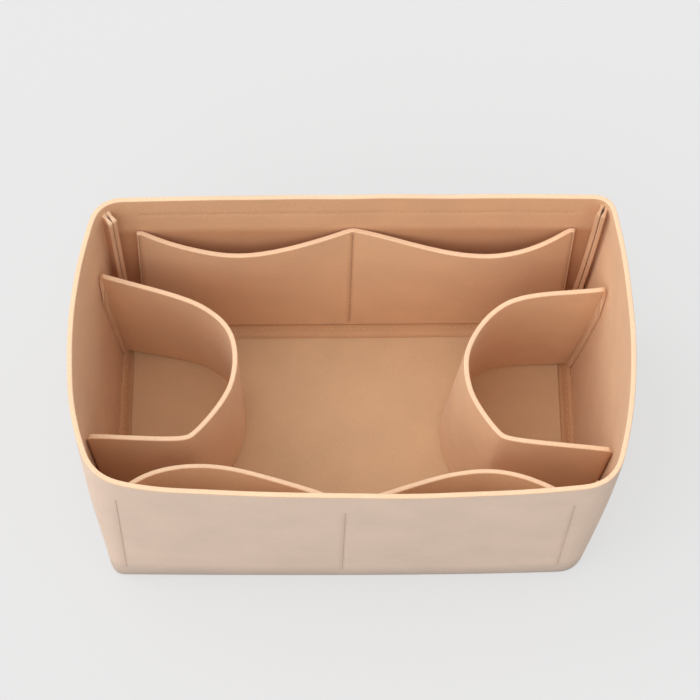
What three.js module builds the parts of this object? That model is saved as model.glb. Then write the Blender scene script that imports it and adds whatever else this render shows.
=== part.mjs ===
// A felt organizer insert for a handbag: an open box of thick felt with a scalloped pair of pockets
// along the front and the back, a looped bottle holder at each end and a loose board on its floor.
// Millimetres, +Z up, +X along the length, -Y to the front, the origin under the middle of the rim.
import * as THREE from "three";

// Felt and thread
const FELT = 3; // thickness of every felt layer
const LAY_GAP = 0.3; // air between two layers that lie on each other
const THREAD_WIDTH = 0.8;
const THREAD_HEIGHT = 0.5;
const STITCH_END = 3; // from the end of a line of stitching to the edge of the felt

// Box, measured outside
const BASE_LENGTH = 284;
const BASE_DEPTH = 170;
const HEIGHT = 144;
const BASE_SHIFT = -3.6; // how far the floor has slipped along the length from under the rim
const END_LEAN = 6.5; // how far each end wall leans out at the rim
const FRONT_LEAN = 6.5;
const BACK_LEAN = 9.5;
const END_BOW = 13; // how far the middle of each end wall swells out at the rim
const FRONT_BOW = 6.5;
const BACK_BOW = 1.3;
const BOW_RISE = 2; // power by which the swelling fades away below the rim
const FRONT_DRAW = 6.5; // how far the front wall draws back at its left corner
const DRAW_START = 0.65; // where that starts, as a share of the half length
const BACK_FLARE = 5; // how much further the right end wall stands out at its back corner
const FLARE_START = -0.3; // where that starts, as a share of the half depth
const LEAST_CORNER = 2.4; // in felt thicknesses, so that the felt can turn the corner
const BASE_ROUND = 2; // rounding of the lower outer edge

// Corners, each named by the side before it: its length along both walls, at the floor and at the rim,
// and the drop from the rim to the top of its fin
const CORNERS = {
  front: { floor: 16, rim: 18, finDrop: 14 },
  right: { floor: 8, rim: 12, finDrop: 5 },
  back: { floor: 10, rim: 16, finDrop: 5 },
  left: { floor: 8, rim: 11, finDrop: 14 },
};

// Corner seams: both walls turn in side by side and make a fin
const FIN_WIDTH = 7;
const FIN_CUT = 2; // height of the slanted cut at each end of the fin
const FIN_STITCH = 4; // from the wall to the line of stitching

// Floor
const TURN_UP = 5; // height of the floor's turned-up edge above the floor
const BOARD_THICKNESS = 3;
const BOARD_CLEAR = 3; // between the board and the turned-up edge
const BOARD_CORNER = 8;
const BOARD_EASE = 0.5; // small chamfer round the board

// Pockets: one panel to a wall makes two
const FRONT_POCKETS = {
  drop: 22, // from the rim down to the seams
  leftInset: 2, // from the corners to the panel's ends
  rightInset: 0.3,
  centre: -2.5, // place of the middle seam
  leftGape: 27.5, // how far each mouth stands off the wall
  rightGape: 22.5,
  leftSkew: 0.5, // moves the widest place of each mouth towards the end
  rightSkew: 0.25,
};
const BACK_POCKETS = {
  drop: 30,
  leftInset: 5.7,
  rightInset: 2,
  centre: 0,
  leftGape: 10.5,
  rightGape: 13,
  leftSkew: 0.1,
  rightSkew: 0.3,
};
const SCALLOP = 10; // how far the top edge dips between two seams
const MOUTH_POWER = 0.9; // below 1, a mouth opens wide close to its seams
const GAPE_RISE = 1.4; // power by which the bulge grows towards the mouth
const POCKET_SEAM_EDGE = 2.5; // from a side seam to the cut edge of the panel
const CENTRE_FLAT = 2; // width that the middle seam holds flat

// Bottle holders: the seams' distances from the front and back walls, and the loop between them
const HOLDER_HEIGHT = 95;
const HOLDER_FLANGE = 8; // end that is turned in and sewn to the end wall
const FLANGE_TRIM = 26; // how far the top of that end is cut away down to its raw edge
const LEFT_HOLDER = {
  backSeam: 16,
  frontSeam: 41.5,
  reach: 69.7, // of the loop, from the foot of the end wall
  backShoulder: 53.7, // how far out the loop leaves its back leg, and how far that leg slants
  backSlant: 23.5,
  frontShoulder: 47,
  frontSlant: -1,
  noseBack: 0.22, // where the loop's two foremost points lie between its shoulders
  noseFront: 0.57,
  frontTurn: 3, // length of the tight turn at the front shoulder, on each side of it
  footReach: 3, // how much further the loop's foot stands out, and how much wider it stands
  footSpread: 8,
};
const RIGHT_HOLDER = {
  backSeam: 28,
  frontSeam: 30.4,
  reach: 69,
  backShoulder: 46.5,
  backSlant: 10,
  frontShoulder: 51.8,
  frontSlant: 9.3,
  noseBack: 0.33,
  noseFront: 0.65,
  frontTurn: 2.5,
  footReach: 9,
  footSpread: 3,
};

// Back wall
const RIM_STITCH_DROP = 15;

// Fineness
const CORNER_STEPS = 5;
const SIDE_STEPS = 24;
const WALL_STEPS = 6;
const POCKET_STEPS = 12;
const POCKET_ROWS = 7;
const HOLDER_STEPS = 40;
const HOLDER_ROWS = 4;
const STITCH_STEPS = 8;
const RIM_STITCH_STEPS = 16;
const TANGENT_STEP = 0.01; // length over which a direction is measured
const HALVINGS = 40; // when a place on a corner is searched for

const FELT_LOOK = new THREE.MeshStandardMaterial({ color: "#d8b08e", roughness: 0.95, metalness: 0 });
const BOARD_LOOK = new THREE.MeshStandardMaterial({ color: "#cb9975", roughness: 0.95, metalness: 0 });
const THREAD_LOOK = new THREE.MeshStandardMaterial({ color: "#b98a66", roughness: 0.8, metalness: 0 });

const SIDES = ["front", "right", "back", "left"]; // anticlockwise from above
const TRAVEL = { front: 1, right: 1, back: -1, left: -1 };
const SEAM_HALF = LAY_GAP / 2;
const LINING = FELT + LAY_GAP; // depth, from a wall's outer face, of a layer sewn inside it
const LINING_FACE = LINING + FELT;
const FLOOR_TOP = FELT + TURN_UP;
const SEWN_BOTTOM = FLOOR_TOP + LAY_GAP;
const FIN_BOTTOM = SEWN_BOTTOM + LAY_GAP;

// The walls' plan at height z, on the surface that lies inset behind their outer face.
function planAt(z, inset = FELT / 2) {
  const rise = z / HEIGHT;
  const swell = 1 - (1 - rise) ** BOW_RISE;
  const corners = {};
  for (const side of SIDES) {
    const { floor, rim } = CORNERS[side];
    const length = Math.max(floor + (rim - floor) * rise - FELT / 2, LEAST_CORNER * FELT);
    corners[side] = length + FELT / 2 - Math.min(inset, LINING_FACE);
  }
  return {
    shift: BASE_SHIFT * (1 - rise),
    halfX: BASE_LENGTH / 2 + END_LEAN * rise - inset,
    front: -BASE_DEPTH / 2 - FRONT_LEAN * rise + inset,
    back: BASE_DEPTH / 2 + BACK_LEAN * rise - inset,
    corners,
    endBow: END_BOW * swell,
    frontBow: FRONT_BOW * swell,
    backBow: BACK_BOW * swell,
    frontDraw: FRONT_DRAW * swell,
    backFlare: BACK_FLARE * swell,
  };
}

// A point of one side: s is x from the middle along the front and the back, and y along the ends.
function sidePoint(side, s, plan) {
  if (side === "front" || side === "back") {
    const swelling = 1 - (s / plan.halfX) ** 2;
    const drawn = Math.max((-s / plan.halfX - DRAW_START) / (1 - DRAW_START), 0) ** 2;
    const front = plan.front - plan.frontBow * swelling + plan.frontDraw * drawn;
    const back = plan.back + plan.backBow * swelling;
    return new THREE.Vector2(s + plan.shift, side === "front" ? front : back);
  }
  const middle = (plan.front + plan.back) / 2;
  const share = (s - middle) / (plan.back - middle);
  const x = plan.halfX + plan.endBow * (1 - share ** 2);
  const flared = x + plan.backFlare * Math.max((share - FLARE_START) / (1 - FLARE_START), 0) ** 2;
  return new THREE.Vector2((side === "right" ? flared : -x) + plan.shift, s);
}

function sideTangent(side, s, plan) {
  const step = TANGENT_STEP * TRAVEL[side];
  return sidePoint(side, s + step, plan).sub(sidePoint(side, s - step, plan)).normalize();
}

function leftOf(direction) {
  return new THREE.Vector2(-direction.y, direction.x);
}

function nextSide(side, count = 1) {
  return SIDES[(SIDES.indexOf(side) + count) % SIDES.length];
}

// The first and the last place of a side between its two corners.
function sideRange(side, plan) {
  const flared = plan.halfX + plan.backFlare;
  const near = { front: -plan.halfX, right: plan.front, back: flared, left: plan.back }[side];
  const drawn = plan.front + plan.frontDraw;
  const far = { front: plan.halfX, right: plan.back, back: -plan.halfX, left: drawn }[side];
  const before = plan.corners[nextSide(side, 3)];
  return [near + before * TRAVEL[side], far - plan.corners[side] * TRAVEL[side]];
}

// The rounded corner at the end of a side, tangent to both of its neighbours.
function cornerAfter(side, plan) {
  const next = nextSide(side);
  const from = sideRange(side, plan)[1];
  const to = sideRange(next, plan)[0];
  const start = sidePoint(side, from, plan);
  const end = sidePoint(next, to, plan);
  const leaving = sideTangent(side, from, plan);
  const arriving = sideTangent(next, to, plan);
  const length = end.clone().sub(start).cross(arriving) / leaving.cross(arriving);
  return new THREE.QuadraticBezierCurve(start, start.clone().addScaledVector(leaving, length), end);
}

// The seam plane of a corner: its place on the middle surface, its direction of travel and the inward one.
function seamOf(corner) {
  const along = corner.getTangent(0.5);
  return { at: corner.getPoint(0.5), along, inward: leftOf(along) };
}

function cornerPoint(corner, t, offset) {
  return corner.getPoint(t).addScaledVector(leftOf(corner.getTangent(t)), offset);
}

// The place on a corner, on the given half, where its offset face is the given distance from the seam.
function seamDistance(corner, half, offset, distance) {
  const seam = seamOf(corner);
  let near = 0.5;
  let far = half > 0 ? 1 : 0;
  for (let i = 0; i < HALVINGS; i++) {
    const t = (near + far) / 2;
    const away = cornerPoint(corner, t, offset).sub(seam.at).dot(seam.along) * half;
    if (away < distance) near = t;
    else far = t;
  }
  return (near + far) / 2;
}

// One face of a wall in plan, from seam to seam.
function facePath(side, plan, offset, fromSeam) {
  const before = cornerAfter(nextSide(side, 3), plan);
  const after = cornerAfter(side, plan);
  const first = seamDistance(before, 1, offset, fromSeam);
  const last = seamDistance(after, -1, offset, fromSeam);
  const [from, to] = sideRange(side, plan);
  const path = [];
  for (let i = 0; i < CORNER_STEPS; i++)
    path.push(cornerPoint(before, first + ((1 - first) * i) / CORNER_STEPS, offset));
  for (let i = 0; i <= SIDE_STEPS; i++) {
    const s = from + ((to - from) * i) / SIDE_STEPS;
    const inward = leftOf(sideTangent(side, s, plan));
    path.push(sidePoint(side, s, plan).addScaledVector(inward, offset));
  }
  for (let i = 1; i <= CORNER_STEPS; i++) path.push(cornerPoint(after, (last * i) / CORNER_STEPS, offset));
  return path;
}

function finTop(side) {
  return HEIGHT - CORNERS[side].finDrop;
}

// The width of the fin after a side at one height, with a slanted cut at both of its ends.
function finWidth(side, z) {
  const share = Math.min((z - FIN_BOTTOM) / FIN_CUT, (finTop(side) + FIN_CUT - z) / FIN_CUT, 1);
  return SEAM_HALF + (FIN_WIDTH - SEAM_HALF) * Math.max(share, 0);
}

// The outline of a wall at one height: outer face, fin, inner face, fin.
function wallRing(side, z, undercut) {
  const plan = planAt(z);
  const outer = facePath(side, plan, undercut - FELT / 2, SEAM_HALF);
  const inner = facePath(side, plan, FELT / 2, SEAM_HALF + FELT);
  const tips = [
    [side, -1],
    [nextSide(side, 3), 1],
  ].map(([before, half]) => {
    const seam = seamOf(cornerAfter(before, plan));
    return [SEAM_HALF, SEAM_HALF + FELT].map((away) =>
      seam.at
        .clone()
        .addScaledVector(seam.inward, FELT / 2 + finWidth(before, z))
        .addScaledVector(seam.along, half * away),
    );
  });
  const ring = [...outer, ...tips[0], ...inner.reverse(), ...tips[1].reverse()];
  return ring.map((p) => new THREE.Vector3(p.x, p.y, z));
}

// A closed ring of the box's plan at height z, inset from the walls' outer face.
function boxRing(z, inset) {
  const plan = planAt(z, inset);
  const ring = [];
  for (const side of SIDES) {
    const [from, to] = sideRange(side, plan);
    const corner = cornerAfter(side, plan);
    for (let i = 0; i < SIDE_STEPS; i++) {
      const s = from + ((to - from) * i) / SIDE_STEPS;
      ring.push(sidePoint(side, s, plan));
    }
    for (let i = 0; i < CORNER_STEPS; i++) ring.push(corner.getPoint(i / CORNER_STEPS));
  }
  return ring.map((p) => new THREE.Vector3(p.x, p.y, z));
}

// A point at a depth behind a wall's outer face, with the inward direction there.
function behindFace(side, s, z, depth) {
  const plan = planAt(z);
  const inward = leftOf(sideTangent(side, s, plan));
  const p = sidePoint(side, s, plan).addScaledVector(inward, depth - FELT / 2);
  return { point: new THREE.Vector3(p.x, p.y, z), inward: new THREE.Vector3(inward.x, inward.y, 0) };
}

function solid(points, quads, triangles = []) {
  const index = [...triangles];
  for (const [a, b, c, d] of quads) index.push([a, b, c], [a, c, d]);
  const geometry = new THREE.BufferGeometry().setFromPoints(points);
  geometry.setIndex(index.flat());
  geometry.computeVertexNormals();
  return geometry;
}

// A solid through rings of points that run anticlockwise from above, closed at the first and last ring.
function loft(rings) {
  const count = rings[0].length;
  const quads = [];
  for (let j = 0; j + 1 < rings.length; j++)
    for (let i = 0; i < count; i++) {
      const k = (i + 1) % count;
      quads.push([j * count + i, j * count + k, (j + 1) * count + k, (j + 1) * count + i]);
    }
  const cap = (ring) =>
    THREE.ShapeUtils.triangulateShape(
      ring.map((p) => new THREE.Vector2(p.x, p.y)),
      [],
    );
  const last = (rings.length - 1) * count;
  const lower = cap(rings[0]).map(([a, b, c]) => [c, b, a]);
  const upper = cap(rings[rings.length - 1]).map((face) => face.map((i) => i + last));
  return solid(rings.flat(), quads, [...lower, ...upper]);
}

// A felt sheet round rows of points on its middle surface, from its lower edge to its upper one.
function sheet(rows) {
  const count = rows[0].length;
  const faces = [-1, 1].map((way) =>
    rows.flatMap((row) =>
      row.map((p, i) => {
        const before = row[Math.max(i - 1, 0)];
        const after = row[Math.min(i + 1, count - 1)];
        const arriving = new THREE.Vector2(p.x - before.x, p.y - before.y).normalize();
        const leaving = new THREE.Vector2(after.x - p.x, after.y - p.y).normalize();
        const left = leftOf(arriving.add(leaving).normalize());
        return new THREE.Vector3(p.x + (way * left.x * FELT) / 2, p.y + (way * left.y * FELT) / 2, p.z);
      }),
    ),
  );
  const right = (j, i) => j * count + i;
  const left = (j, i) => (rows.length + j) * count + i;
  const quads = [];
  const top = rows.length - 1;
  const end = count - 1;
  for (let j = 0; j < top; j++) {
    for (let i = 0; i < end; i++) {
      quads.push([right(j, i), right(j, i + 1), right(j + 1, i + 1), right(j + 1, i)]);
      quads.push([left(j, i), left(j + 1, i), left(j + 1, i + 1), left(j, i + 1)]);
    }
    quads.push([right(j, 0), right(j + 1, 0), left(j + 1, 0), left(j, 0)]);
    quads.push([right(j, end), left(j, end), left(j + 1, end), right(j + 1, end)]);
  }
  for (let i = 0; i < end; i++) {
    quads.push([right(top, i), right(top, i + 1), left(top, i + 1), left(top, i)]);
    quads.push([right(0, i), left(0, i), left(0, i + 1), right(0, i + 1)]);
  }
  return solid(faces.flat(), quads);
}

// A line of thread along points that carry the direction in which it stands off the felt.
function thread(path, looped = false) {
  const count = path.length;
  const at = (i) => path[looped ? (i + count) % count : Math.min(Math.max(i, 0), count - 1)].point;
  const points = path.flatMap(({ point, out }, i) => {
    const along = at(i + 1).clone().sub(at(i - 1)).normalize();
    const across = out.clone().cross(along).normalize();
    const corners = [
      [-1, -1],
      [1, -1],
      [1, 1],
      [-1, 1],
    ];
    return corners.map(([a, b]) =>
      point
        .clone()
        .addScaledVector(across, (a * THREAD_WIDTH) / 2)
        .addScaledVector(out, (b * THREAD_HEIGHT) / 2),
    );
  });
  const quads = [];
  const spans = looped ? count : count - 1;
  for (let j = 0; j < spans; j++)
    for (let i = 0; i < 4; i++) {
      const k = (i + 1) % 4;
      const next = ((j + 1) % count) * 4;
      quads.push([j * 4 + i, j * 4 + k, next + k, next + i]);
    }
  if (!looped) {
    const end = (count - 1) * 4;
    quads.push([3, 2, 1, 0], [end, end + 1, end + 2, end + 3]);
  }
  return solid(points, quads);
}

// A line of stitching along a wall; the depth is that of the felt face it lies on.
function wallStitch(side, steps, place, depth, way) {
  const path = [];
  for (let i = 0; i <= steps; i++) {
    const [s, z] = place(i / steps);
    const { point, inward } = behindFace(side, s, z, depth + way * (LAY_GAP + THREAD_HEIGHT / 2));
    path.push({ point, out: inward.multiplyScalar(way) });
  }
  return thread(path);
}

const organizer = new THREE.Group();

function add(name, geometry, look) {
  const mesh = new THREE.Mesh(geometry, look);
  mesh.name = name;
  organizer.add(mesh);
  return mesh;
}

// The four walls, each with a fin at both ends
const wallLevels = [
  { z: 0, undercut: BASE_ROUND },
  { z: BASE_ROUND * (1 - Math.SQRT1_2), undercut: BASE_ROUND * (1 - Math.SQRT1_2) },
  { z: BASE_ROUND, undercut: 0 },
  { z: FIN_BOTTOM, undercut: 0 },
];
const finTops = [...new Set(SIDES.map(finTop))].sort((a, b) => a - b);
for (let i = 0; i < WALL_STEPS; i++) {
  const z = FIN_BOTTOM + FIN_CUT + ((finTops[0] - FIN_BOTTOM - FIN_CUT) * i) / WALL_STEPS;
  wallLevels.push({ z, undercut: 0 });
}
for (const z of finTops) wallLevels.push({ z, undercut: 0 }, { z: z + FIN_CUT, undercut: 0 });
wallLevels.push({ z: HEIGHT, undercut: 0 });
const WALL_NAMES = {
  front: "front_wall",
  right: "right_end_wall",
  back: "back_wall",
  left: "left_end_wall",
};
for (const side of SIDES) {
  const rings = wallLevels.map((level) => wallRing(side, level.z, level.undercut));
  add(WALL_NAMES[side], loft(rings), FELT_LOOK);
}

// Corner stitching, on the end wall's layer of each fin
const CORNER_NAMES = { front: "front_right", right: "back_right", back: "back_left", left: "front_left" };
for (const side of SIDES) {
  const half = side === "front" || side === "back" ? 1 : -1;
  const from = FIN_BOTTOM + FIN_CUT + STITCH_END;
  const to = finTop(side) - STITCH_END;
  const path = [];
  for (let i = 0; i <= STITCH_STEPS; i++) {
    const z = from + ((to - from) * i) / STITCH_STEPS;
    const seam = seamOf(cornerAfter(side, planAt(z)));
    const away = SEAM_HALF + FELT + LAY_GAP + THREAD_HEIGHT / 2;
    const p = seam.at.clone().addScaledVector(seam.inward, FELT / 2 + FIN_STITCH);
    p.addScaledVector(seam.along, half * away);
    const out = new THREE.Vector3(seam.along.x, seam.along.y, 0).multiplyScalar(half);
    path.push({ point: new THREE.Vector3(p.x, p.y, z), out });
  }
  add("corner_seam_" + CORNER_NAMES[side], thread(path), THREAD_LOOK);
}

// The floor, with its edge turned up inside the walls, and the stitching round that edge
const floorRings = [
  boxRing(0, LINING),
  boxRing(FLOOR_TOP, LINING),
  boxRing(FLOOR_TOP, LINING_FACE),
  boxRing(FELT, LINING_FACE),
];
add("bottom_panel", loft(floorRings), FELT_LOOK);
const baseStitch = boxRing(FELT + TURN_UP / 2, LINING_FACE + LAY_GAP + THREAD_HEIGHT / 2);
const basePath = baseStitch.map((point, i) => {
  const before = baseStitch[(i + baseStitch.length - 1) % baseStitch.length];
  const after = baseStitch[(i + 1) % baseStitch.length];
  const inward = leftOf(new THREE.Vector2(after.x - before.x, after.y - before.y).normalize());
  return { point, out: new THREE.Vector3(inward.x, inward.y, 0) };
});
add("base_seam", thread(basePath, true), THREAD_LOOK);

// The loose board, which lies inside the turned-up edge
const boardPlan = planAt(0, LINING_FACE + BOARD_CLEAR);
const boardX = boardPlan.halfX - BOARD_EASE;
const boardFront = boardPlan.front + BOARD_EASE;
const boardBack = boardPlan.back - BOARD_EASE;
const boardShape = new THREE.Shape();
boardShape.absarc(boardX - BOARD_CORNER, boardFront + BOARD_CORNER, BOARD_CORNER, -Math.PI / 2, 0);
boardShape.absarc(boardX - BOARD_CORNER, boardBack - BOARD_CORNER, BOARD_CORNER, 0, Math.PI / 2);
boardShape.absarc(BOARD_CORNER - boardX, boardBack - BOARD_CORNER, BOARD_CORNER, Math.PI / 2, Math.PI);
boardShape.absarc(BOARD_CORNER - boardX, boardFront + BOARD_CORNER, BOARD_CORNER, Math.PI, 1.5 * Math.PI);
boardShape.closePath();
const boardSolid = new THREE.ExtrudeGeometry(boardShape, {
  depth: BOARD_THICKNESS - 2 * BOARD_EASE,
  bevelThickness: BOARD_EASE,
  bevelSize: BOARD_EASE,
  bevelSegments: 1,
  curveSegments: CORNER_STEPS,
});
const board = add("base_board", boardSolid, BOARD_LOOK);
board.position.set(boardPlan.shift, 0, FELT + LAY_GAP + BOARD_EASE);

// Pockets: one panel to a wall, sewn at both ends and in the middle, with two gaping mouths
function pocketPlaces(side, pockets) {
  const ranges = [SEWN_BOTTOM, HEIGHT - pockets.drop].map((z) => sideRange(side, planAt(z)));
  const left = Math.max(...ranges.map((range) => Math.min(...range))) + pockets.leftInset;
  const right = Math.min(...ranges.map((range) => Math.max(...range))) - pockets.rightInset;
  return { left, right, leftSeam: left + POCKET_SEAM_EDGE, rightSeam: right - POCKET_SEAM_EDGE };
}

// The share of the full gape at the share u of a pocket, from its side seam to the middle seam.
function mouth(u, skew) {
  const place = u + skew * u * (1 - u);
  return Math.max(Math.sin(Math.PI * place), 0) ** MOUTH_POWER;
}

function pocketPanel(side, pockets) {
  const places = pocketPlaces(side, pockets);
  const half = (end, seam, middle, gape, skew) => {
    const columns = [{ s: end, u: 0, gape, skew }];
    for (let i = 0; i <= POCKET_STEPS; i++) {
      const u = (1 - Math.cos((Math.PI * i) / POCKET_STEPS)) / 2;
      columns.push({ s: seam + (middle - seam) * u, u, gape, skew });
    }
    return columns;
  };
  const { centre, leftGape, rightGape, leftSkew, rightSkew } = pockets;
  const leftHalf = half(places.left, places.leftSeam, centre - CENTRE_FLAT / 2, leftGape, leftSkew);
  const rightHalf = half(places.right, places.rightSeam, centre + CENTRE_FLAT / 2, rightGape, rightSkew);
  const across = [...leftHalf, ...rightHalf.reverse()];
  if (TRAVEL[side] < 0) across.reverse();
  const rows = [];
  for (let j = 0; j <= POCKET_ROWS; j++) {
    const share = j / POCKET_ROWS;
    const row = across.map(({ s, u, gape, skew }) => {
      const top = HEIGHT - pockets.drop - SCALLOP * Math.sin(Math.PI * u);
      const z = SEWN_BOTTOM + (top - SEWN_BOTTOM) * share;
      const standOff = gape * mouth(u, skew) * share ** GAPE_RISE;
      return behindFace(side, s, z, LINING + FELT / 2 + standOff).point;
    });
    rows.push(row);
  }
  return sheet(rows);
}

// Each panel with its stitching, inside on the panel and outside on the wall
for (const [side, pockets] of [
  ["front", FRONT_POCKETS],
  ["back", BACK_POCKETS],
]) {
  add(side + "_pocket_panel", pocketPanel(side, pockets), FELT_LOOK);
  const { left, right, leftSeam, rightSeam } = pocketPlaces(side, pockets);
  const from = SEWN_BOTTOM + STITCH_END;
  const to = HEIGHT - pockets.drop - STITCH_END;
  for (const [where, s] of [
    ["left", (left + leftSeam) / 2],
    ["centre", pockets.centre],
    ["right", (right + rightSeam) / 2],
  ]) {
    const place = (t) => [s, from + (to - from) * t];
    add(side + "_pocket_seam_" + where, wallStitch(side, STITCH_STEPS, place, LINING_FACE, 1), THREAD_LOOK);
    add(side + "_wall_stitch_" + where, wallStitch(side, STITCH_STEPS, place, 0, -1), THREAD_LOOK);
  }
}

// The line of stitching under the back rim
const { leftSeam: rimLeft, rightSeam: rimRight } = pocketPlaces("back", BACK_POCKETS);
for (const [where, depth, way] of [
  ["inner", FELT, 1],
  ["outer", 0, -1],
]) {
  const z = HEIGHT - RIM_STITCH_DROP;
  const place = (t) => [rimRight + (rimLeft - rimRight) * t, z];
  add("back_rim_stitch_" + where, wallStitch("back", RIM_STITCH_STEPS, place, depth, way), THREAD_LOOK);
}

// Bottle holders: a strip from one turned-in end, round the loop, to the other one
const holderBottom = FIN_BOTTOM;
const holderTop = holderBottom + HOLDER_HEIGHT;

function holderSeams(holder) {
  const plan = planAt(0, FELT);
  return { back: plan.back - holder.backSeam, front: plan.front + holder.frontSeam };
}

function holderRow(side, holder, z) {
  const seams = holderSeams(holder);
  const foot = (holderTop - z) / HOLDER_HEIGHT;
  const onWall = (s, down = 0) => behindFace(side, s, z - down, LINING + FELT / 2).point;
  const wallX = planAt(0, FELT).halfX;
  const { shift } = planAt(z);
  const across = side === "left" ? -1 : 1;
  const standing = (out, y) => {
    const x = across * (wallX - out - holder.footReach * foot);
    return new THREE.Vector3(x + shift, y, z);
  };
  const backY = seams.back - holder.backSlant + holder.footSpread * foot;
  const frontY = seams.front + holder.frontSlant;
  const noseFront = standing(holder.reach, backY + (frontY - backY) * holder.noseFront);
  const turn = standing(holder.frontShoulder, frontY);
  const turned = (towards) => towards.clone().sub(turn).setLength(holder.frontTurn).add(turn);
  const loop = new THREE.CatmullRomCurve3([
    onWall(seams.back),
    standing(holder.backShoulder, backY),
    standing(holder.reach, backY + (frontY - backY) * holder.noseBack),
    noseFront,
    turned(noseFront),
    turned(onWall(seams.front)),
    onWall(seams.front),
  ]);
  const trim = FLANGE_TRIM * (1 - foot);
  const row = [
    onWall(seams.back - HOLDER_FLANGE, trim),
    ...loop.getSpacedPoints(HOLDER_STEPS),
    onWall(seams.front + HOLDER_FLANGE, trim),
  ];
  return side === "left" ? row : row.reverse();
}

for (const [side, holder] of [
  ["left", LEFT_HOLDER],
  ["right", RIGHT_HOLDER],
]) {
  const rows = [];
  for (let j = 0; j <= HOLDER_ROWS; j++)
    rows.push(holderRow(side, holder, holderBottom + (HOLDER_HEIGHT * j) / HOLDER_ROWS));
  add(side + "_bottle_holder", sheet(rows), FELT_LOOK);
  const seams = holderSeams(holder);
  const from = holderBottom + STITCH_END;
  const to = holderTop - FLANGE_TRIM * (0.5 + STITCH_END / HOLDER_FLANGE);
  for (const [where, s] of [
    ["front", seams.front + HOLDER_FLANGE / 2],
    ["back", seams.back - HOLDER_FLANGE / 2],
  ]) {
    const place = (t) => [s, from + (to - from) * t];
    add(side + "_holder_seam_" + where, wallStitch(side, STITCH_STEPS, place, LINING_FACE, 1), THREAD_LOOK);
    add(side + "_end_stitch_" + where, wallStitch(side, STITCH_STEPS, place, 0, -1), THREAD_LOOK);
  }
}

export default organizer;
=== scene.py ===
# %% [markdown]
# # A felt organizer insert for a handbag
# The insert is an open box of thick pressed felt. It has a pair of pockets along the front and the back,
# a looped bottle holder at each end and a loose board on its floor.
# The measured frame gives every piece its size and place. This lesson cuts the felt again as fine sheets,
# bends each one into place, sews it with real stitches and gives it the look of felt.

import math
from types import SimpleNamespace

import bmesh
import bpy
from mathutils import Matrix, Vector, geometry, noise


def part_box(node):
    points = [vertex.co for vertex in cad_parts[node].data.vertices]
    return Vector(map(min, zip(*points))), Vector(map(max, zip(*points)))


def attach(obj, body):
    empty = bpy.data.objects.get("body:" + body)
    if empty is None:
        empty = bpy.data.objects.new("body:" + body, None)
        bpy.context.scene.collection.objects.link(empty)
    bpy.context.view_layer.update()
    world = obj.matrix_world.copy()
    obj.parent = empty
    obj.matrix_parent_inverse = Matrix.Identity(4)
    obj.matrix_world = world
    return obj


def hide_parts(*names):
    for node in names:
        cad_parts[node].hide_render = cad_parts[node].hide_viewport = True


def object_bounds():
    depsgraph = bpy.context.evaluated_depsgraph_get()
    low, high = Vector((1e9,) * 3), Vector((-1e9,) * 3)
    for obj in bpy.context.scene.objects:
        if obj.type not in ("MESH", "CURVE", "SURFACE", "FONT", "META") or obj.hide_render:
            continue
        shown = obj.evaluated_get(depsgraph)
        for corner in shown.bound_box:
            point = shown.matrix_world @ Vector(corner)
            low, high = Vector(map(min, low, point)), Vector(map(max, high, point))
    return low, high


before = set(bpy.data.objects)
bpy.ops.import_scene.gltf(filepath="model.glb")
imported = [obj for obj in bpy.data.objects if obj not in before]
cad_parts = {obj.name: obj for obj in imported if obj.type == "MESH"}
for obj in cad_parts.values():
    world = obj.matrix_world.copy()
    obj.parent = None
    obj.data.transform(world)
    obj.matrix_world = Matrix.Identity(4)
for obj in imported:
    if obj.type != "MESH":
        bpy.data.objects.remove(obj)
frame_low, frame_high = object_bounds()
print("nodes in the frame:", len(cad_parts), "size:", [round(x, 4) for x in frame_high - frame_low])

# %% [markdown]
# ## The camera
# A long lens from far away keeps the box's sides nearly parallel, as a product photograph does.
# The camera could be turned to a target with a constraint. Here its place and its two angles are written
# down, because the small roll of the picture is then one plain number.

# %% Camera
MM = 0.001
PICTURE = 700  # pixels, both ways
FOCAL = 2510  # pixels
SENSOR = 36  # millimetres
EYE = Vector((-0.8, -653.2, 1409.2)) * MM
LOOK_DOWN = math.radians(62.93)
ROLL = math.radians(-0.41)
NEAREST = 10 * MM  # what is nearer to the camera isn't drawn

lens = bpy.data.cameras.new("camera")
lens.sensor_width = SENSOR
lens.lens = FOCAL * SENSOR / PICTURE
lens.clip_start = NEAREST
camera = bpy.data.objects.new("camera", lens)
turn_down = Matrix.Rotation(math.radians(90) - LOOK_DOWN, 4, "X")
camera.matrix_world = Matrix.Translation(EYE) @ turn_down @ Matrix.Rotation(ROLL, 4, "Z")
bpy.context.scene.collection.objects.link(camera)
bpy.context.scene.camera = camera
print("lens:", round(lens.lens, 1), "mm")

# %% [markdown]
# ## Floor and light
# The insert stands on a plain pale floor. Soft light comes from all round, and a broad lamp adds more from
# above on the left and a little from the front, so that the inside of the right end is the brightest.
# An area lamp would do as well, but a sun with a wide angle lights the whole floor evenly.

# %% Floor
FLOOR_HALF = 6  # metres
FLOOR_DROP = 0.1 * MM
WHITE = (1, 1, 1, 1)
PAPER = {
    "Base Color": (0.2, 0.2, 0.2, 1),
    "Roughness": 1,
    "Specular IOR Level": 0,
    "Emission Color": WHITE,
}
FLOOR_GLOW = 0.585  # of the light that the paper seems to give back


def new_object(name, mesh_maker, *finishes):
    """Turns a bmesh into an object at the origin, with its finishes in order."""
    mesh = bpy.data.meshes.new(name)
    mesh_maker.to_mesh(mesh)
    mesh_maker.free()
    for finish in finishes:
        mesh.materials.append(finish)
    for face in mesh.polygons:
        face.use_smooth = True
    made = bpy.data.objects.new(name, mesh)
    bpy.context.scene.collection.objects.link(made)
    return made


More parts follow.
